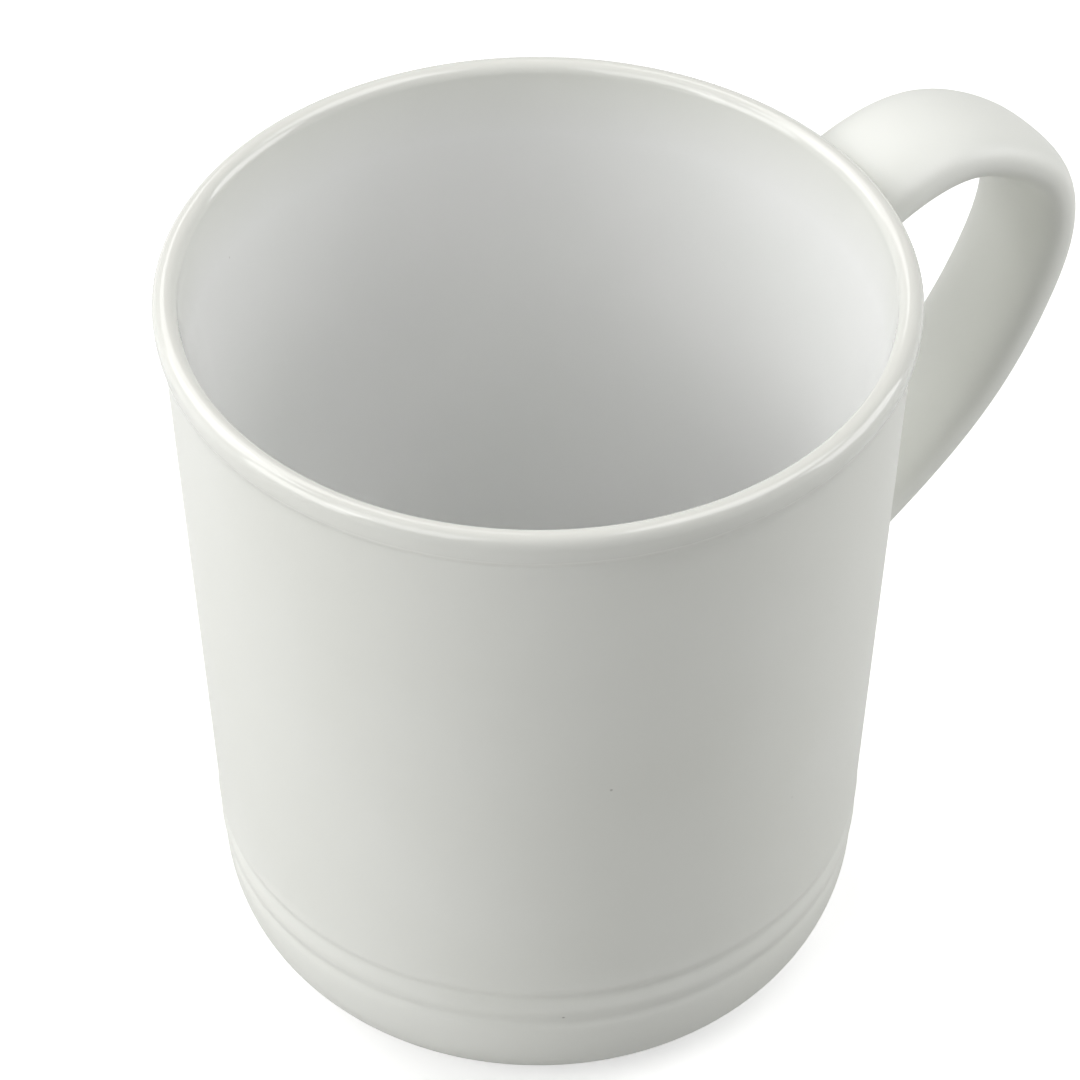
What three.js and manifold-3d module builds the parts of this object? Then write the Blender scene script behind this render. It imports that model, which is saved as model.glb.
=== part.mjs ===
// A ceramic mug with a rolled rim, two soft rings near the foot and one strap handle.
// The clay cup and the clay strap are formed apart and stuck together with slip. One satin coat then
// covers the outside and the handle, a gloss coat covers the inside and the rim, and a small patch of
// coat fills the recess under the foot. The foot ring itself is bare clay.
//
// Millimetres. The origin is on the cup's axis, in the plane that the mug stands on. +Z is up and the
// handle points along +X.

import * as THREE from "three";
import { mergeVertices } from "three/addons/utils/BufferGeometryUtils.js";
import Module from "manifold-3d";

// ---- Driving dimensions ----

const height = 97.2;
const rimRadius = 44; // outermost radius, on the rolled rim
const rimRoll = 1.42; // radius of the roll's round top
const rimDrop = 2.9; // how far the roll reaches down outside, below its centre
const rimStep = 0.15; // how far the roll stands out of the wall where it ends
const throatHeight = 50; // the lip's inside has run into the plain wall at this height
const wallTopRadius = 43.05; // outside of the wall, just under the rim
const wallSlope = 0.0475; // radius lost for each millimetre down the wall
const wallThickness = 3.4;

const shoulderHeight = 14; // where the wall turns into the rounded base
const baseRounding = 10; // how far the rounded base draws in
const baseTurn = 80; // degrees of rounding before the base meets the foot
const footHeight = 0.5; // bare clay below the rounded base
const footOuterRadius = 30.6;
const footInnerRadius = 27.4;
const recessHeight = 2.4; // clay ceiling of the recess under the foot
const floorHeight = 6.5; // glazed floor inside the cup
const floorCornerRadius = 9;

const grooveHeights = [15.1, 19.5];
const grooveDepth = 0.35;
const grooveWidth = 1.0;
const ridgeHeights = [17.3, 21.2];
const ridgeRise = 0.12;

const strapWidthAtWall = 17;
const strapWidthAtGrip = 15.6;
const strapThickness = 6.8;
const strapRoundness = 2.4; // 2 is an ellipse, and more is squarer

const coat = 0.45; // thickness of every glaze coat
const gap = 0.3; // clearance between pieces that touch
const slipThickness = 1;

// The middle line of the strap, from inside the wall round to inside the wall again.
const strapLine = [
  [37, 86.6],
  [48.2, 92.0],
  [57.6, 93.1],
  [65.9, 89.6],
  [71.8, 83.6],
  [73.2, 76.4],
  [70.3, 66.7],
  [63.2, 55.7],
  [50.9, 45.4],
  [36, 36.6],
];

// ---- Sizes that follow from them ----

const rollRadius = rimRadius - rimRoll; // centre of the roll's round top
const rollHeight = height - rimRoll;
const seamHeight = rollHeight - rimDrop; // where the roll meets the wall and the two coats meet
const rollFootRadius = wallTopRadius + rimStep; // outside of the roll at that seam
const rollBulge = rimRadius - rollFootRadius;
const gripRadius = Math.max(...strapLine.map(([x]) => x)); // where the strap is furthest out
const ringTop = 23.9; // the wall is plain above this height
const ringStep = 1.1;

const turnSegments = 40;
const strapSteps = 24;
const strapSides = 16;

// How far each surface of a piece lies under the mug's visible surface.
const glazeFace = 0;
const glazeBack = coat;
const clayFace = coat + gap;

const wasm = await Module();
wasm.setup();

// ---- Outlines, as [radius, height] points ----

function point(radius, level) {
  return new THREE.Vector2(radius, level);
}

function wallRadius(level) {
  return wallTopRadius - wallSlope * (seamHeight - level);
}

// A soft bump that stands up to 1 high at its centre.
function bump(level, centre) {
  return Math.exp(-(((level - centre) / grooveWidth) ** 2));
}

function ringRelief(level) {
  const grooves = grooveHeights.reduce((sum, centre) => sum + bump(level, centre), 0);
  const ridges = ridgeHeights.reduce((sum, centre) => sum + bump(level, centre), 0);
  return ridgeRise * ridges - grooveDepth * grooves;
}

// The outside from the foot up to the seam, a given depth under the visible surface.
function outsideOutline(depth, top) {
  const points = [];
  const shoulderRadius = wallRadius(shoulderHeight) + ringRelief(shoulderHeight);
  const centre = shoulderRadius - baseRounding;
  const steps = 5;
  for (let i = 0; i < steps; i++) {
    const angle = THREE.MathUtils.degToRad(baseTurn) * (1 - i / steps);
    points.push(
      point(
        centre + (baseRounding - depth) * Math.cos(angle),
        shoulderHeight - (shoulderHeight - footHeight - depth) * Math.sin(angle),
      ),
    );
  }
  for (let level = shoulderHeight; level <= ringTop; level += ringStep) {
    points.push(point(wallRadius(level) + ringRelief(level) - depth, level));
  }
  points.push(point(wallRadius(top) - depth, top));
  return points;
}

// The rolled rim, from the seam outside, over the top, to the inside edge of the lip.
function rimOutline(depth, seam) {
  const points = [];
  const dropSteps = 3;
  for (let i = 0; i < dropSteps; i++) {
    const angle = (Math.PI / 2) * (1 - i / dropSteps);
    points.push(
      point(
        rollFootRadius - depth + rollBulge * Math.cos(angle),
        rollHeight - (rollHeight - seam) * Math.sin(angle),
      ),
    );
  }
  const rollSteps = 6;
  for (let i = 0; i <= rollSteps; i++) {
    const angle = (Math.PI * i) / rollSteps;
    points.push(
      point(
        rollRadius + (rimRoll - depth) * Math.cos(angle),
        rollHeight + (rimRoll - depth) * Math.sin(angle),
      ),
    );
  }
  return points;
}

// The inside, from under the lip down the wall and over the floor to the axis.
function insideOutline(depth) {
  const lipRadius = rollRadius - rimRoll + depth;
  const throatRadius = wallRadius(throatHeight) - wallThickness + depth;
  const half = (rollHeight - throatHeight) / 2;
  const throat = new THREE.CubicBezierCurve(
    point(lipRadius, rollHeight),
    point(lipRadius, rollHeight - half),
    point(throatRadius, throatHeight + half),
    point(throatRadius, throatHeight),
  );
  const points = throat.getPoints(3).slice(1);
  const cornerHeight = floorHeight + floorCornerRadius;
  const cornerCentre = wallRadius(cornerHeight) - wallThickness - floorCornerRadius;
  const cornerSteps = 4;
  for (let i = 0; i <= cornerSteps; i++) {
    const angle = ((Math.PI / 2) * i) / cornerSteps;
    points.push(
      point(
        cornerCentre + (floorCornerRadius + depth) * Math.cos(angle),
        cornerHeight - (floorCornerRadius + depth) * Math.sin(angle),
      ),
    );
  }
  points.push(point(0, floorHeight - depth));
  return points;
}

// ---- Solids ----

// A geometry as a solid: only its positions count, with shared corners merged.
function solidOf(geometry) {
  geometry.deleteAttribute("normal");
  geometry.deleteAttribute("uv");
  const merged = mergeVertices(geometry, 1e-4);
  const mesh = new wasm.Mesh({
    numProp: 3,
    vertProperties: merged.attributes.position.array,
    triVerts: new Uint32Array(merged.index.array),
  });
  return new wasm.Manifold(mesh);
}

function geometryOf(solid) {
  const mesh = solid.getMesh();
  const geometry = new THREE.BufferGeometry();
  geometry.setAttribute("position", new THREE.BufferAttribute(mesh.vertProperties, 3));
  geometry.setIndex(new THREE.BufferAttribute(mesh.triVerts, 1));
  geometry.computeVertexNormals();
  return geometry;
}

// An outline turned about the mug's axis. It starts and ends on the axis or closes on itself.
function turned(outline) {
  const geometry = new THREE.LatheGeometry(outline, turnSegments);
  geometry.rotateX(Math.PI / 2);
  return solidOf(geometry);
}

function closed(outline) {
  return [...outline, outline[0].clone()];
}

function onAxis(outline) {
  return [point(0, outline[0].y), ...outline, point(0, outline.at(-1).y)];
}

// The strap, a given depth under its visible surface. It narrows a little towards the grip.
function strap(depth) {
  const path = new THREE.CatmullRomCurve3(strapLine.map(([x, z]) => new THREE.Vector3(x, 0, z)));
  const section = new THREE.Shape();
  for (let i = 0; i < strapSides; i++) {
    const angle = (2 * Math.PI * i) / strapSides;
    const along = Math.abs(Math.cos(angle)) ** (2 / strapRoundness) * Math.sign(Math.cos(angle));
    const across = Math.abs(Math.sin(angle)) ** (2 / strapRoundness) * Math.sign(Math.sin(angle));
    const x = along * (strapWidthAtWall / 2 - depth);
    const y = across * (strapThickness / 2 - depth);
    if (i === 0) section.moveTo(x, y);
    else section.lineTo(x, y);
  }
  const geometry = new THREE.ExtrudeGeometry(section, {
    steps: strapSteps,
    extrudePath: path,
    curveSegments: 1,
  });
  const position = geometry.getAttribute("position");
  for (let i = 0; i < position.count; i++) {
    const out = (position.getX(i) - wallTopRadius) / (gripRadius - wallTopRadius);
    const share = THREE.MathUtils.clamp(out, 0, 1);
    const width = THREE.MathUtils.lerp(strapWidthAtWall, strapWidthAtGrip, share);
    position.setY(i, (position.getY(i) * width) / strapWidthAtWall);
  }
  return solidOf(geometry);
}

// Everything inside the cup's outer surface, a given depth under it, up to a given height.
function cupCore(depth, top) {
  return turned(onAxis(outsideOutline(depth, top)));
}

// The rolled rim with clearance all round, down to just under its seam.
function rimClearance() {
  const outline = rimOutline(-gap, seamHeight - gap);
  return turned(onAxis(outline));
}

// ---- Pieces ----

function clayBody() {
  const outline = [
    point(0, recessHeight),
    point(footInnerRadius, recessHeight),
    point(footInnerRadius, 0),
    point(footOuterRadius, 0),
    ...outsideOutline(clayFace, seamHeight),
    ...rimOutline(clayFace, seamHeight + gap),
    ...insideOutline(clayFace),
  ];
  return turned(outline);
}

function glossGlaze() {
  const face = [...rimOutline(glazeFace, seamHeight), ...insideOutline(glazeFace)];
  const back = [...rimOutline(glazeBack, seamHeight), ...insideOutline(glazeBack)];
  return turned([...back.reverse(), ...face]);
}

function baseGlaze() {
  const top = recessHeight - gap;
  const edge = footInnerRadius - gap;
  const outline = [
    point(0, top - coat),
    point(edge - coat, top - coat),
    point(edge, top - coat / 2),
    point(edge, top),
    point(0, top),
  ];
  return turned(outline);
}

function satinGlaze() {
  const top = seamHeight - gap;
  const face = outsideOutline(glazeFace, top);
  const back = outsideOutline(glazeBack, top);
  const bodyCoat = turned(closed([...face, ...back.reverse()]));
  return bodyCoat
    .add(strap(glazeFace))
    .subtract(strap(glazeBack))
    .subtract(cupCore(glazeBack, height))
    .subtract(rimClearance());
}

function clayHandle() {
  const wallClearance = clayFace - (2 * gap + slipThickness);
  return strap(clayFace).subtract(cupCore(wallClearance, height)).subtract(rimClearance());
}

// Both slip joints: the slices of the strap between the cup's clay and the strap's own end.
function slipJoints() {
  const slices = strap(clayFace)
    .intersect(cupCore(clayFace - gap - slipThickness, height))
    .subtract(cupCore(clayFace - gap, height))
    .subtract(rimClearance());
  const ends = slices.decompose();
  ends.sort((a, b) => b.boundingBox().max[2] - a.boundingBox().max[2]);
  return ends;
}

// ---- The mug ----

const finishes = {
  clay: { color: 0xcfc6b6, roughness: 0.9, metalness: 0 },
  satin: { color: 0xe3e4de, roughness: 0.48, metalness: 0 },
  gloss: { color: 0xeeeeea, roughness: 0.12, metalness: 0 },
};

function piece(name, solid, finish) {
  const material = new THREE.MeshStandardMaterial(finishes[finish]);
  const mesh = new THREE.Mesh(geometryOf(solid), material);
  mesh.name = name;
  return mesh;
}

const [upperSlip, lowerSlip] = slipJoints();

const cup = new THREE.Group();
cup.add(piece("clay_body", clayBody(), "clay"));
cup.add(piece("gloss_glaze", glossGlaze(), "gloss"));
cup.add(piece("base_glaze", baseGlaze(), "satin"));

const handle = new THREE.Group();
handle.add(piece("clay_handle", clayHandle(), "clay"));
handle.add(piece("upper_slip_joint", upperSlip, "clay"));
handle.add(piece("lower_slip_joint", lowerSlip, "clay"));

const mug = new THREE.Group();
mug.add(cup);
mug.add(handle);
mug.add(piece("satin_glaze", satinGlaze(), "satin"));

export default mug;
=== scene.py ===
"""A ceramic mug: a clay cup and a clay strap, stuck together with slip and glazed in three coats.

The sections follow the way a mug is made. Shapes are worked out in millimetres and become metres as
they are put into a mesh. The row frame has the cup's axis on Z, the foot at 0 and the handle along +X.
"""

import math

import bmesh
import bpy
import numpy as np
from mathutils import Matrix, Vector


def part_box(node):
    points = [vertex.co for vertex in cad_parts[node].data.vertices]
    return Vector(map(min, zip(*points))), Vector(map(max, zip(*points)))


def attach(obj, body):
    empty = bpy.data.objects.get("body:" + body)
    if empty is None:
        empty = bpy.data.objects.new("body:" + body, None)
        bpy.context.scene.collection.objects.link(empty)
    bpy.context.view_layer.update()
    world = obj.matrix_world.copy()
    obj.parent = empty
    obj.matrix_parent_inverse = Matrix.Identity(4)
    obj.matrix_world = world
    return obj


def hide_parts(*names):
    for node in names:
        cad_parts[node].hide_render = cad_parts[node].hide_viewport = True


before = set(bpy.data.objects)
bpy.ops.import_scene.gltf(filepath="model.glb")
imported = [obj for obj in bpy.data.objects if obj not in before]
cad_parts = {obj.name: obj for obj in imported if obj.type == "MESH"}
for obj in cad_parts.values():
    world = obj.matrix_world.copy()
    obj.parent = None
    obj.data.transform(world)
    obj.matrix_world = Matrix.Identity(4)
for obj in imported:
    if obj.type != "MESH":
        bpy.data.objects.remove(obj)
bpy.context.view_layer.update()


# ---- The clay cup ----
# The cup is one piece of white stoneware clay, jiggered in a plaster mould and turned while leather
# hard, which leaves the rolled rim, two soft rings and a ring to stand on. Only that ring is left bare.

MM = 0.001
coat = 0.45  # thickness of every glaze coat
skin = 0.05  # clay starts this far behind a coat's back

rim_radius = -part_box("gloss_glaze")[0].x / MM
mug_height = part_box("gloss_glaze")[1].z / MM
rim_roll = 1.42  # radius of the rim's round top
rim_drop = 2.9  # how far the roll reaches down outside, below its centre
rim_step = 0.15  # how far the roll stands out of the wall where it ends
rim_turn = 60  # degrees that the roll turns under before the hollow
roll_radius = rim_radius - rim_roll
roll_height = mug_height - rim_roll
seam_height = roll_height - rim_drop
hollow_foot = 90.0  # height where the wall starts to curve out to the roll
hollow_corner = 92.5

wall_top = 43.05  # outside radius at the seam under the rim
wall_slope = 0.0475
wall_thickness = 3.4
shoulder = 14.0  # height where the wall turns into the rounded base
base_draw = 10.0  # how far the rounded base draws in
base_turn = 80  # degrees of rounding before the base meets the foot
foot_height = 0.5
foot_outer = 30.6
foot_inner = 27.4
foot_rounding = 0.5
foot_flare = 1.4  # height where the foot meets the rounded base
recess = 2.4
recess_corner = 0.6
floor_height = 6.5
floor_corner = 9.0
throat = 62.0  # the lip's inside has run into the plain wall at this height
throat_ease = 2.4  # how quickly it does so at first

grooves = (15.1, 19.5)
ridges = (17.3, 21.2)
groove_depth = 0.35
ridge_rise = 0.12
ring_width = 1.0
rings_end = 24  # the wall is plain above this height

turn_steps = 192


def arc(centre, radii, start, end, steps):
    """Points on an ellipse from one angle to another, in degrees."""
    points = []
    for i in range(steps + 1):
        angle = math.radians(start + (end - start) * i / steps)
        points.append((centre[0] + radii[0] * math.cos(angle), centre[1] + radii[1] * math.sin(angle)))
    return points


def bend(start, corner, end, places):
    """Points on a soft bend from start to end that touches the two lines through the corner."""
    points = []
    for t in places:
        shares = ((1 - t) ** 2, 2 * t * (1 - t), t * t)
        points.append(tuple(sum(s * p[k] for s, p in zip(shares, (start, corner, end))) for k in (0, 1)))
    return points


def wall_radius(level):
    """Outside radius of the wall at a height, with the relief of the rings."""
    plain = wall_top - wall_slope * (seam_height - level)
    cut = sum(math.exp(-(((level - h) / ring_width) ** 2)) for h in grooves)
    swell = sum(math.exp(-(((level - h) / ring_width) ** 2)) for h in ridges)
    return plain + ridge_rise * swell - groove_depth * cut


def base_outline(depth):
    """The rounded base, from beside the foot up to the wall."""
    centre = (wall_radius(shoulder) - base_draw, shoulder)
    radii = (base_draw - depth, shoulder - foot_height - depth)
    return arc(centre, radii, -base_turn, 0, 20)


def wall_outline(depth):
    """The wall outside, with rows close together over the rings and further apart above them."""
    levels = list(np.arange(shoulder, rings_end, 0.25)[1:])
    levels += list(np.linspace(rings_end, hollow_foot, 34))
    return [(wall_radius(level) - depth, float(level)) for level in levels]


seam_place = 0.8  # where along the hollow the two coats meet
hollow_rows = [0, 0.14, 0.28, 0.42, 0.56, 0.7, seam_place - 0.01, seam_place, seam_place + 0.01, 0.9, 1]
seam_row = hollow_rows.index(seam_place)


def rim_start(depth):
    """The soft hollow where the wall runs out into the rolled rim."""
    roll_foot = wall_top + rim_step
    side = arc((roll_foot, roll_height), (rim_radius - roll_foot, rim_drop), -rim_turn, 0, 10)
    corner = (wall_radius(hollow_corner), hollow_corner)
    hollow = bend((wall_radius(hollow_foot), hollow_foot), corner, side[0], hollow_rows)
    return [(r - depth, z) for r, z in hollow], [(r - depth, z) for r, z in side]


def lip_outline(depth):
    """The round top of the rim, from outside to inside."""
    return arc((roll_radius, roll_height), (rim_roll - depth, rim_roll - depth), 0, 180, 20)


def plain_inside(level):
    """Inside radius of the wall at a height, if the wall were plain up to there."""
    return wall_top - wall_slope * (seam_height - level) - wall_thickness


def inside_outline(depth):
    """The inside, from under the lip to the middle of the floor."""
    lip = roll_radius - rim_roll
    corner = floor_height + floor_corner
    points = []
    flare = lip - plain_inside(roll_height)
    for level in np.linspace(roll_height, corner, 60)[1:-1]:
        rest = max(level - throat, 0) / (roll_height - throat)
        points.append((plain_inside(level) + flare * rest ** throat_ease + depth, float(level)))
    reach = plain_inside(corner) - floor_corner
    points += arc((reach, corner), (floor_corner + depth, floor_corner + depth), 0, -90, 16)
    points += [(reach * (1 - i / 8), floor_height - depth) for i in range(1, 9)]
    return points


def turned(outline):
    """A mesh turned about the cup's axis from an outline of (radius, height) points in millimetres."""
    mesh = bmesh.new()
    verts = [mesh.verts.new((r * MM, 0, z * MM)) for r, z in outline]
    edges = [mesh.edges.new(pair) for pair in zip(verts, verts[1:])]
    bmesh.ops.spin(
        mesh, geom=verts + edges, cent=(0, 0, 0), axis=(0, 0, 1), angle=2 * math.pi,
        steps=turn_steps, use_merge=True, use_duplicate=False,
    )
    bmesh.ops.remove_doubles(mesh, verts=mesh.verts, dist=1e-7)
    bmesh.ops.recalc_face_normals(mesh, faces=mesh.faces)
    return mesh


def finished(name, mesh, material, slot, *nodes):
    """A shown piece made from a mesh: smooth, with its sharp edges kept, riding on the mug."""
    for face in mesh.faces:
        face.smooth = True
    for edge in mesh.edges:
        edge.smooth = not edge.is_boundary and edge.calc_face_angle(0) < math.radians(50)
    data = bpy.data.meshes.new(name)
    mesh.to_mesh(data)
    mesh.free()
    data.materials.append(material)
    piece = bpy.data.objects.new(name, data)
    bpy.context.scene.collection.objects.link(piece)
    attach(piece, "root")
    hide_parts(*nodes)
    return piece


def linear(code):
    """An sRGB hex colour as linear red, green, blue and alpha."""
    parts = [int(code[i:i + 2], 16) / 255 for i in (1, 3, 5)]
    return [p / 12.92 if p <= 0.04045 else ((p + 0.055) / 1.055) ** 2.4 for p in parts] + [1]


def add(material, kind, settings, **links):
    """Adds a node, fills in its settings, and links its inputs. Returns its first output.

    A number as a setting's name, or a link named _0, _1 or _2, means the input of that number.
    The setting stops gives a colour ramp the places and colours of its two ends.
    """
    node = material.node_tree.nodes.new(kind)
    for name, value in settings.items():
        if name == "stops":
            for end, (place, colour) in zip(node.color_ramp.elements, value):
                end.position = place
                end.color = linear(colour)
        elif isinstance(name, int) or name in node.inputs:
            node.inputs[name].default_value = value
        else:
            setattr(node, name, value)
    for name, output in links.items():
        socket = int(name[1:]) if name[1:].isdigit() else name.replace("_", " ")
        material.node_tree.links.new(output, node.inputs[socket])
    return node.outputs[0]


def new_material(name, roughness, ior):
    """A material with its shader, and the place on the piece that its patterns follow."""
    material = bpy.data.materials.new(name)
    material.use_nodes = True
    shader = material.node_tree.nodes["Principled BSDF"]
    shader.inputs["Roughness"].default_value = roughness
    shader.inputs["IOR"].default_value = ior
    places = material.node_tree.nodes.new("ShaderNodeTexCoord")
    return material, shader, places.outputs["Object"]


def lumps(size):
    """The scale of a pattern whose lumps or cells are about as wide as the size in millimetres."""
    return 1 / (size * MM)


def finish_surface(material, shader, colour, roughness, height, relief):
    """Links a finish to the shader. The relief is the height of the bumps in millimetres."""
    link = material.node_tree.links.new
    link(colour, shader.inputs["Base Color"])
    link(roughness, shader.inputs["Roughness"])
    link(add(material, "ShaderNodeBump", {"Distance": relief * MM}, Height=height), shader.inputs["Normal"])
    return material


def bare_clay():
    """White stoneware, fired and left bare: dry and a little sandy, warm grey, with grains of grog."""
    material, shader, place = new_material("stoneware_clay_fired_bare", 0.9, 1.5)
    cloud = add(material, "ShaderNodeTexNoise", {"Scale": lumps(12), "Detail": 2}, Vector=place)
    grain = add(material, "ShaderNodeTexNoise", {"Scale": lumps(0.5), "Detail": 4}, Vector=place)
    body = add(material, "ShaderNodeValToRGB", {"stops": ((0.35, "#D6CDBD"), (0.65, "#CBC0AE"))}, Fac=cloud)
    grog = add(material, "ShaderNodeValToRGB", {"stops": ((0.62, "#D2C8B7"), (0.7, "#9B8C78"))}, Fac=grain)
    showing = add(material, "ShaderNodeMapRange", {"From Min": 0.6, "From Max": 0.72}, Value=grain)
    colour = add(material, "ShaderNodeMixRGB", {}, Fac=showing, Color1=body, Color2=grog)
    roughness = add(material, "ShaderNodeMapRange", {"To Min": 0.84, "To Max": 0.96}, Value=grain)
    return finish_surface(material, shader, colour, roughness, grain, 0.08)


clay = bare_clay()
foot = [(0, recess), (foot_inner - recess_corner, recess), (foot_inner, recess - recess_corner)]
foot += arc((foot_inner + foot_rounding, foot_rounding), (foot_rounding, foot_rounding), 180, 270, 6)
foot += arc((foot_outer - foot_rounding, foot_rounding), (foot_rounding, foot_rounding), -90, -20, 6)
foot += [(foot_outer + foot_rounding * 0.7, foot_flare)]
cup_outline = foot + base_outline(coat + skin) + wall_outline(coat + skin)
hollow, side = rim_start(coat + skin)
cup_outline += hollow[1:] + side[1:] + lip_outline(coat + skin)[1:] + inside_outline(coat + skin)
finished("clay_cup", turned(cup_outline), clay, "clay", "clay_body")


# ---- The clay strap ----
# The handle is a strap of the same clay, pressed in its own mould, bent to a tall loop and trimmed to
# the cup's curve at both ends. It is a soft oblong in section and narrows a little towards the grip.

strap_line = ((37, 86.6), (48.2, 92.0), (57.6, 93.1), (65.9, 89.6), (71.8, 83.6),
              (73.2, 76.4), (70.3, 66.7), (63.2, 55.7), (50.9, 45.4), (36, 36.6))
grip_radius = max(x for x, _ in strap_line)
strap_width = (17.0, 15.6)  # at the wall and at the grip
strap_thickness = 6.8
strap_roundness = 2.4  # 2 is an ellipse, and more is squarer
sides_across = 18  # faces over the strap's width
sides_along = 11  # and over each of its edges
slip_thickness = 1.0
search_length = 30  # the strap is out of the wall this far from its end


def smooth_curve(points, count):
    """A natural cubic spline through the points, as many points on it, and how far along each lies."""
    points = np.array(points, float)
    knots = np.append(0, np.cumsum(np.hypot(*np.diff(points, axis=0).T)))
    gaps = np.diff(knots)
    size = len(points)
    left = np.eye(size)
    right = np.zeros((size, 2))
    for i in range(1, size - 1):
        left[i, i - 1:i + 2] = gaps[i - 1], 2 * (gaps[i - 1] + gaps[i]), gaps[i]
        slopes = np.diff(points[i - 1:i + 2], axis=0) / gaps[i - 1:i + 1, None]
        right[i] = 6 * (slopes[1] - slopes[0])
    bends = np.linalg.solve(left, right)
    at = np.linspace(0, knots[-1], count)
    k = np.clip(np.searchsorted(knots, at) - 1, 0, size - 2)
    gap, before, after = gaps[k][:, None], (at - knots[k])[:, None], (knots[k + 1] - at)[:, None]
    curve = (
        (bends[k] * after ** 3 + bends[k + 1] * before ** 3) / (6 * gap)
        + (points[k] / gap - bends[k] * gap / 6) * after
        + (points[k + 1] / gap - bends[k + 1] * gap / 6) * before
    )
    return curve, np.append(0, np.cumsum(np.hypot(*np.diff(curve, axis=0).T)))


strap_curve, strap_distance = smooth_curve(strap_line, 600)
strap_heading = np.gradient(strap_curve, strap_distance, axis=0)
strap_length = strap_distance[-1]


def section_angles():
    """Angles round the section, spaced as the points round a rectangle of faces are."""
    across = [2 * i / sides_across - 1 for i in range(sides_across)]
    along = [2 * i / sides_along - 1 for i in range(sides_along)]
    corners = [(x, -1) for x in across] + [(1, y) for y in along]
    corners += [(-x, 1) for x in across] + [(-1, -y) for y in along]
    return [math.atan2(y, x) for x, y in corners]


def strap_point(distance, angle, depth):
    """A point on the strap, a depth under its surface. At 90 degrees it faces away from the fingers."""
    x, z, ahead_x, ahead_z = (
        float(np.interp(distance, strap_distance, column)) for column in (*strap_curve.T, *strap_heading.T)
    )
    out = min(max((x - wall_top) / (grip_radius - wall_top), 0), 1)
    width = strap_width[0] + (strap_width[1] - strap_width[0]) * out
    cosine, sine = math.cos(angle), math.sin(angle)
    sideways = (width / 2 - depth) * math.copysign(abs(cosine) ** (2 / strap_roundness), cosine)
    outwards = (strap_thickness / 2 - depth) * math.copysign(abs(sine) ** (2 / strap_roundness), sine)
    return Vector((x - ahead_z * outwards, sideways, z + ahead_x * outwards))


outside = base_outline(0) + wall_outline(0) + rim_start(0)[0][1:seam_row + 1]
outside_radii, outside_levels = np.array(outside).T


def outside_radius(level):
    """Outside radius of the cup at a height, read off the outline that its glaze is turned from."""
    return float(np.interp(level, outside_levels, outside_radii))


def meeting(angle, depth, end):
    """How far along the strap its line at this angle meets the cup's wall, at end 0 or 1."""
    inside, outer = (0, search_length) if end == 0 else (strap_length, strap_length - search_length)
    for _ in range(40):
        middle = (inside + outer) / 2
        point = strap_point(middle, angle, depth)
        if math.hypot(point.x, point.y) < outside_radius(point.z) - depth:
            inside = middle
        else:
            outer = middle
    return middle


def loft(mesh, rings):
    """Extrudes a closed loop of edges from ring to ring."""
    order = mesh.verts.layers.int.new("order")
    loop = bmesh.ops.create_circle(mesh, segments=len(rings[0]), radius=1)["verts"]
    edges = list({e for v in loop for e in v.link_edges})
    for i, vert in enumerate(loop):
        vert[order] = i
        vert.co = rings[0][i] * MM
    for ring in rings[1:]:
        made = bmesh.ops.extrude_edge_only(mesh, edges=edges)["geom"]
        edges = [g for g in made if isinstance(g, bmesh.types.BMEdge)]
        for vert in made:
            if isinstance(vert, bmesh.types.BMVert):
                vert.co = ring[vert[order]] * MM
    mesh.verts.layers.int.remove(order)


angles = section_angles()


def strap_rings(depth, trim, steps):
    """Rings of points along the strap, trimmed by a distance from where it meets the wall."""
    starts = [meeting(angle, depth, 0) + trim for angle in angles]
    ends = [meeting(angle, depth, 1) - trim for angle in angles]
    rings = []
    for i in range(steps + 1):
        places = [a + (b - a) * i / steps for a, b in zip(starts, ends)]
        rings.append([strap_point(place, angle, depth) for place, angle in zip(places, angles)])
    return rings


strap_mesh = bmesh.new()
loft(strap_mesh, strap_rings(coat + skin, slip_thickness, 60))
bmesh.ops.holes_fill(strap_mesh, edges=strap_mesh.edges, sides=0)
bmesh.ops.recalc_face_normals(strap_mesh, faces=strap_mesh.faces)
finished("clay_strap", strap_mesh, clay, "clay", "clay_handle")


# ---- The slip joints ----
# Slip is the same clay stirred with water. It sticks the strap's two ends to the cup, and fires hard.

for name in ("upper_slip_joint", "lower_slip_joint"):
    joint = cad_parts[name]
    joint.data.materials.clear()
    joint.data.materials.append(clay)


# ---- The satin coat ----
# One smooth off-white satin glaze is sprayed over the wall and the handle together, so it runs on
# without a joint from the wall up on to the strap. It pools a little where the two meet.

root_fillet = 2.6
fillet_steps = 7
collar_steps = 4
strap_steps = 100
root_top = 92.45  # the joint ends below the line where the gloss coat starts
speck_spacing = 11
satin_light = "#E1E2DD"  # where the coat is thin
satin_deep = "#DEDFD9"


def specked(material, place, colour):
    """Adds the few pin specks of iron that show through a glaze: grey-brown, half a millimetre across."""
    cells = add(material, "ShaderNodeTexVoronoi", {"Scale": lumps(speck_spacing)}, Vector=place)
    settings = {"From Min": 0.012, "From Max": 0.026, "To Min": 0.75, "To Max": 0.0}
    speck = add(material, "ShaderNodeMapRange", settings, Value=cells)
    return add(material, "ShaderNodeMixRGB", {"Color2": linear("#76736B")}, Fac=speck, Color1=colour)


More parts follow.
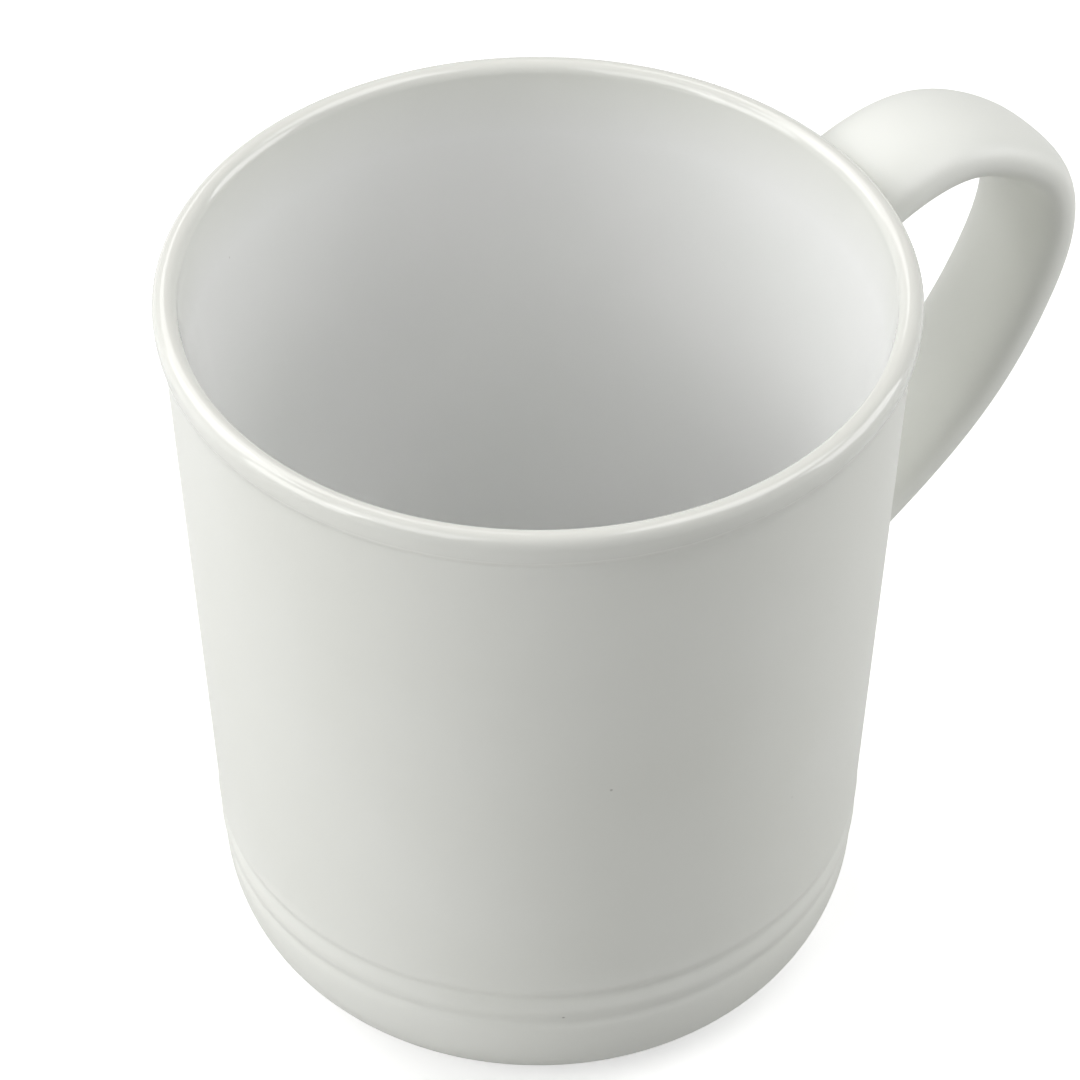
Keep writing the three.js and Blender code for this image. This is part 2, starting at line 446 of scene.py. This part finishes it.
def satin_glaze():
    """Satin white stoneware glaze, sprayed: an even off-white with a soft sheen that breaks up highlights.

    The coat's thickness drifts over a few centimetres, and its skin has the fine grain of tiny crystals.
    """
    material, shader, place = new_material("stoneware_glaze_satin_white_sprayed", 0.42, 1.52)
    drift = add(material, "ShaderNodeTexNoise", {"Scale": lumps(28), "Detail": 2}, Vector=place)
    ripple = add(material, "ShaderNodeTexNoise", {"Scale": lumps(5), "Detail": 2}, Vector=place)
    crystals = add(material, "ShaderNodeTexNoise", {"Scale": lumps(0.35), "Detail": 3}, Vector=place)
    plain = add(material, "ShaderNodeValToRGB", {"stops": ((0.3, satin_light), (0.7, satin_deep))}, Fac=drift)
    colour = specked(material, place, plain)
    skin_height = add(material, "ShaderNodeMath", {"operation": "MULTIPLY_ADD", 1: 3}, _0=ripple, _2=crystals)
    settings = {"From Min": 0.2, "From Max": 0.8, "To Min": 0.38, "To Max": 0.47}
    roughness = add(material, "ShaderNodeMapRange", settings, Value=crystals)
    return finish_surface(material, shader, colour, roughness, skin_height, 0.006)


def on_wall(turn, level):
    """A point on the outside of the cup, from its angle round the axis and its height."""
    radius = outside_radius(level)
    return Vector((radius * math.cos(turn), radius * math.sin(turn), level))


def root_rings(end, low, high):
    """Rings from the edge of the hole in the wall over the wall and up on to the strap, at end 0 or 1."""
    sign = 1 if end == 0 else -1
    distances = [meeting(angle, 0, end) for angle in angles]
    meets = [strap_point(d, angle, 0) for d, angle in zip(distances, angles)]
    turns = [math.atan2(p.y, p.x) for p in meets]
    levels = [min(p.z, root_top) for p in meets]
    corners = [on_wall(t, z) for t, z in zip(turns, levels)]
    tops = [strap_point(d + sign * root_fillet, angle, 0) for d, angle in zip(distances, angles)]
    feet = []
    count = len(angles)
    for i in range(count):
        before, after = (i - 1) % count, (i + 1) % count
        rise = levels[after] - levels[before]
        along = Vector(((turns[after] - turns[before]) * wall_top, rise)).normalized()
        out = Vector((along.y, -along.x)) * sign
        turn = turns[i] + out.x * root_fillet / wall_top
        feet.append((turn, min(levels[i] + out.y * root_fillet, root_top)))
    hole = hole_edge(end, low, high)
    rings = []
    for k in range(collar_steps):
        t = k / collar_steps
        places = [(a[0] + (b[0] - a[0]) * t, a[1] + (b[1] - a[1]) * t) for a, b in zip(hole, feet)]
        rings.append([on_wall(*place) for place in places])
    feet = [on_wall(*foot) for foot in feet]
    for k in range(fillet_steps + 1):
        t = k / fillet_steps
        rings.append([
            a * (1 - t) ** 2 + b * 2 * t * (1 - t) + c * t * t for a, b, c in zip(feet, corners, tops)
        ])
    return rings


def hole_edge(end, low, high):
    """The turn and level of each point round a hole in the wall, in the order of the section's angles."""
    reach = math.pi * sides_across / turn_steps
    rows = [z for z in outside_levels if low - 0.01 < z < high + 0.01]
    rows = rows if end == 0 else rows[::-1]
    across = [reach * (2 * i / sides_across - 1) for i in range(sides_across)]
    edge = [(turn, rows[0]) for turn in across] + [(reach, z) for z in rows[:-1]]
    return edge + [(-turn, rows[-1]) for turn in across] + [(-reach, z) for z in rows[:0:-1]]


def open_wall(mesh, low, high):
    """Takes out the block of wall faces where a strap's end goes."""
    reach = math.pi * sides_across / turn_steps
    block = []
    for face in mesh.faces:
        middle = face.calc_center_median()
        if middle.x > 0 and abs(math.atan2(middle.y, middle.x)) < reach and low < middle.z / MM < high:
            block.append(face)
    bmesh.ops.delete(mesh, geom=block, context="FACES")


def coated(piece):
    """Gives a coat its thickness, inwards from its outer face."""
    thickness = piece.modifiers.new("coat_thickness", "SOLIDIFY")
    thickness.thickness = coat * MM
    thickness.offset = -1
    thickness.use_quality_normals = True


satin = satin_glaze()
hollow, side = rim_start(0)
wall_mesh = turned(outside)
upper_hole = (78, hollow[seam_row - 2][1])
lower_hole = (28, 50)
open_wall(wall_mesh, *upper_hole)
open_wall(wall_mesh, *lower_hole)
strap_part = strap_rings(0, root_fillet, strap_steps)
loft(wall_mesh, root_rings(0, *upper_hole) + strap_part[1:-1] + root_rings(1, *lower_hole)[::-1])
bmesh.ops.remove_doubles(wall_mesh, verts=wall_mesh.verts, dist=1e-6)
bmesh.ops.recalc_face_normals(wall_mesh, faces=wall_mesh.faces)
coated(finished("satin_coat", wall_mesh, satin, "satin_glaze", "satin_glaze"))


# ---- The gloss coat ----
# A clear-white glossy glaze, poured into the cup and swilled round, with the rim dipped after it. It
# covers the inside, the lip and the roll, down to the soft hollow under the rim.


def gloss_glaze():
    """Glossy white stoneware glaze, poured: a cooler white inside, where it lies thick and has run smooth.

    Down the outside of the roll it goes over into the satin. The top of the lip is painted a touch greyer:
    painted shade that darkens the upward-facing top of the lip.
    """
    material, shader, place = new_material("stoneware_glaze_gloss_white_poured", 0.09, 1.52)
    level = add(material, "ShaderNodeSeparateXYZ", {}, Vector=place).node.outputs["Z"]
    flat = add(material, "ShaderNodeVectorMath", {"operation": "MULTIPLY", 1: (1, 1, 0)}, _0=place)
    radius = add(material, "ShaderNodeVectorMath", {"operation": "LENGTH"}, _0=flat).node.outputs["Value"]
    drift = add(material, "ShaderNodeTexNoise", {"Scale": lumps(30), "Detail": 2}, Vector=place)
    ripple = add(material, "ShaderNodeTexNoise", {"Scale": lumps(6), "Detail": 2}, Vector=place)

    inside = add(material, "ShaderNodeValToRGB", {"stops": ((0.3, "#EEEEED"), (0.7, "#EAEBE9"))}, Fac=drift)
    outer_white = {"stops": ((0.3, satin_light), (0.7, satin_deep))}
    outside = add(material, "ShaderNodeValToRGB", outer_white, Fac=drift)
    # Painted shade: a greyer white, eight levels under the satin, for the upward-facing top of the lip
    crest_painted_shade = add(material, "ShaderNodeValToRGB", {"stops": ((0.3, "#DADAD4"), (0.7, "#D7D7D1"))}, Fac=drift)

    settings = {"From Min": 88 * MM, "From Max": 96.2 * MM}
    on_lip = add(material, "ShaderNodeMapRange", settings, Value=level)
    settings = {"From Min": (rim_radius - 2.2) * MM, "From Max": (rim_radius - 1) * MM}
    on_roll = add(material, "ShaderNodeMapRange", settings, Value=radius)
    over_rim = add(material, "ShaderNodeMath", {"operation": "MAXIMUM"}, _0=on_lip, _1=on_roll)
    # Painted shade mask: strongest over the middle of the lip's round top and fading out to both sides, only
    # near the rim
    aside = add(material, "ShaderNodeMath", {"operation": "SUBTRACT", 1: roll_radius * MM}, _0=radius)
    aside = add(material, "ShaderNodeMath", {"operation": "ABSOLUTE"}, _0=aside)
    settings = {"From Min": 0.3 * MM, "From Max": 1.5 * MM, "To Min": 1, "To Max": 0}
    crest_shade_mask = add(material, "ShaderNodeMapRange", settings, Value=aside)
    crest_shade_mask = add(material, "ShaderNodeMath", {"operation": "MULTIPLY"}, _0=crest_shade_mask, _1=on_lip)
    rim = add(material, "ShaderNodeMixRGB", {}, Fac=crest_shade_mask, Color1=outside, Color2=crest_painted_shade)
    plain = add(material, "ShaderNodeMixRGB", {}, Fac=over_rim, Color1=inside, Color2=rim)

    settings = {"From Min": 0.2, "From Max": 0.8, "To Min": 0.07, "To Max": 0.11}
    wet = add(material, "ShaderNodeMapRange", settings, Value=ripple)
    settings = {"From Min": 95.2 * MM, "From Max": seam_height * MM, "To Min": 0, "To Max": 0.32}
    low = add(material, "ShaderNodeMapRange", settings, Value=level)
    settings = {"From Min": (rim_radius - 1.6) * MM, "From Max": (rim_radius - 1) * MM}
    outer = add(material, "ShaderNodeMapRange", settings, Value=radius)
    thin = add(material, "ShaderNodeMath", {"operation": "MULTIPLY"}, _0=low, _1=outer)
    roughness = add(material, "ShaderNodeMath", {"operation": "ADD"}, _0=wet, _1=thin)
    return finish_surface(material, shader, specked(material, place, plain), roughness, ripple, 0.006)


gloss = gloss_glaze()
rim_and_inside = hollow[seam_row:] + side[1:] + lip_outline(0)[1:] + inside_outline(0)
coated(finished("gloss_coat", turned(rim_and_inside), gloss, "gloss_glaze", "gloss_glaze"))

# ---- The base coat ----
# The recess inside the foot is glazed with the same satin glaze as a round patch. The bare foot ring
# cuts it off from the wall's coat, because the mug stands on that ring in the kiln.

patch_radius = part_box("base_glaze")[1].x / MM
patch_low, patch_high = (corner.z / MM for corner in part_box("base_glaze"))
patch_edge = 0.4
patch = [(0, patch_high), (patch_radius - 0.05, patch_high)]
patch += arc((patch_radius - patch_edge, patch_low + patch_edge), (patch_edge, patch_edge), 0, -90, 8)
patch += [(patch_radius * (1 - i / 8), patch_low) for i in range(1, 9)]
finished("base_coat", turned(patch), satin, "satin_glaze", "base_glaze")


# ---- Camera, floor and light ----
# White paper seen from above through a long lens, with soft boxes on both sides and one behind.

view_height = 57.66 * MM
view_distance = 0.572
view_pitch = math.radians(42.228)
view_turn = math.radians(-124.6)
target = Vector((0, 0, view_height))
level_part = math.cos(view_pitch)
away = Vector((level_part * math.cos(view_turn), level_part * math.sin(view_turn), math.sin(view_pitch)))
camera_data = bpy.data.cameras.new("camera")
camera_data.sensor_width = 36
camera_data.lens = 159.6
camera_data.shift_x = 0.0019
camera_data.shift_y = -0.0005
camera_data.clip_start = 0.01
camera_data.clip_end = 100
camera = bpy.data.objects.new("camera", camera_data)
camera.location = target + away * view_distance
camera.rotation_euler = (-away).to_track_quat("-Z", "Y").to_euler()
bpy.context.scene.collection.objects.link(camera)
bpy.context.scene.camera = camera

paper_flat = 700  # the paper lies flat this far out
paper_curve = 800  # and then curves up with this radius


def backdrop_paper(name, glow):
    """Matt white paper with a grain that only just shows. To the camera it glows, which keeps it pale."""
    material, shader, place = new_material(name, 0.9, 1.45)
    shader.inputs["Specular IOR Level"].default_value = 0.1
    fibre = add(material, "ShaderNodeTexNoise", {"Scale": lumps(1.5), "Detail": 2}, Vector=place)
    colour = add(material, "ShaderNodeValToRGB", {"stops": ((0.3, "#D6D6D5"), (0.7, "#D3D3D2"))}, Fac=fibre)
    rays = material.node_tree.nodes.new("ShaderNodeLightPath").outputs["Is Camera Ray"]
    seen = add(material, "ShaderNodeMath", {"operation": "MULTIPLY", 1: glow}, _0=rays)
    shader.inputs["Emission Color"].default_value = (1, 1, 1, 1)
    material.node_tree.links.new(seen, shader.inputs["Emission Strength"])
    roughness = add(material, "ShaderNodeMapRange", {"To Min": 0.86, "To Max": 0.94}, Value=fibre)
    return finish_surface(material, shader, colour, roughness, fibre, 0.01)


def paper(name, outline, material):
    """A round sheet of backdrop paper that faces the mug."""
    mesh = turned(outline)
    for face in mesh.faces:
        face.smooth = True
        if face.normal.z < 0:
            face.normal_flip()
    data = bpy.data.meshes.new(name)
    mesh.to_mesh(data)
    mesh.free()
    data.materials.append(material)
    sheet = bpy.data.objects.new(name, data)
    bpy.context.scene.collection.objects.link(sheet)
    return sheet


floor_paper = backdrop_paper("backdrop_paper_matt_white", 0.55)
paper("paper_floor", [(paper_flat * i / 8, 0) for i in range(9)], floor_paper)
paper_wall = arc((paper_flat, paper_curve), (paper_curve, paper_curve), -90, 0, 32)
paper_wall += [(paper_flat + paper_curve, paper_curve + 500)]
wall_paper = backdrop_paper("backdrop_paper_backlit_white", 1.0)
paper("paper_wall", paper_wall, wall_paper).visible_diffuse = False

world = bpy.data.worlds.new("studio")
world.use_nodes = True
world.node_tree.nodes["Background"].inputs["Color"].default_value = (1, 1, 1, 1)
world.node_tree.nodes["Background"].inputs["Strength"].default_value = 0.0
bpy.context.scene.world = world
bpy.context.scene.view_settings.view_transform = "Standard"


box_size = 0.6
box_distance = 1.0


def soft_box(name, turn, lift, power):
    """A square light that looks at the mug. It is turned from the camera's side and lifted, in degrees."""
    turn, lift = view_turn + math.radians(turn), math.radians(lift)
    out = Vector((math.cos(lift) * math.cos(turn), math.cos(lift) * math.sin(turn), math.sin(lift)))
    data = bpy.data.lights.new(name, "AREA")
    data.size = box_size
    data.energy = power
    light = bpy.data.objects.new(name, data)
    light.location = Vector((0, 0, 0.05)) + out * box_distance
    light.rotation_euler = (-out).to_track_quat("-Z", "Y").to_euler()
    light.visible_camera = False
    bpy.context.scene.collection.objects.link(light)


soft_box("left_side_box", -66, 20, 4.4)
soft_box("left_rear_box", -110, 42, 4.1)
soft_box("left_front_box", -40, 42, 2.7)
soft_box("right_side_box", 97, 20, 4.6)
soft_box("right_top_box", 90, 62, 3.9)
soft_box("rear_box", -150, 48, 2.9)
